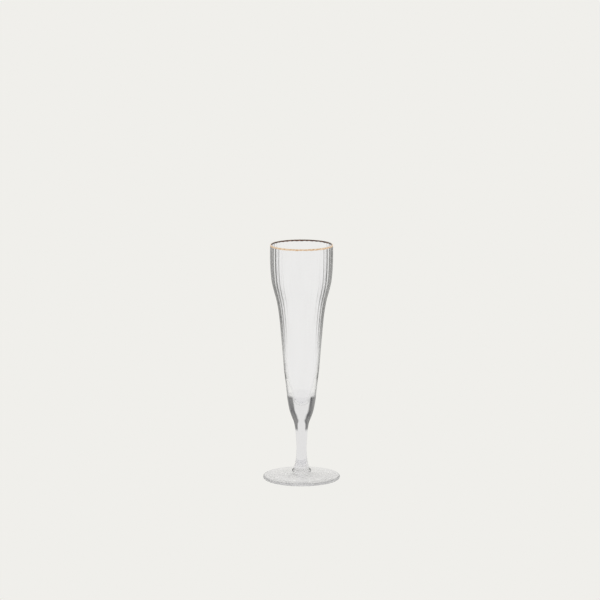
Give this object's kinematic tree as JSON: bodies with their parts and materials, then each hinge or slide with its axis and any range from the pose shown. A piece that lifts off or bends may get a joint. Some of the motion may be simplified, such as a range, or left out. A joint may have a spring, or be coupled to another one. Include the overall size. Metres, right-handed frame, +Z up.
{
  "type": "champagne flute",
  "caption": "Tall clear glass champagne flute with a fluted waisted bowl, a gilded lip, a slim solid stem and a disc foot.",
  "frame": {"origin": "centre of the foot's underside, on the surface that the glass stands on", "axes": "+Z up along the glass's axis, towards the lip; +X and +Y lie in the standing surface, and a groove between two flutes faces -Y"},
  "size_m": [0.07, 0.07, 0.215],
  "materials": {
    "foot_glass": "clear, fire-polished, with faint swirls in the pressed disc",
    "stem_glass": "clear, solid drawn rod with faint lengthwise striae",
    "bowl_glass": "clear, thin blown wall with soft vertical flutes",
    "gilding": "bright fired-on gold, slightly uneven, browner where it is seen through the glass"
  },
  "bodies": {
    "root": {"foot": "foot_glass", "foot_collar": "foot_glass", "stem": "stem_glass", "bowl": "bowl_glass", "gilt_rim": "gilding"}
  },
  "joints": []
}
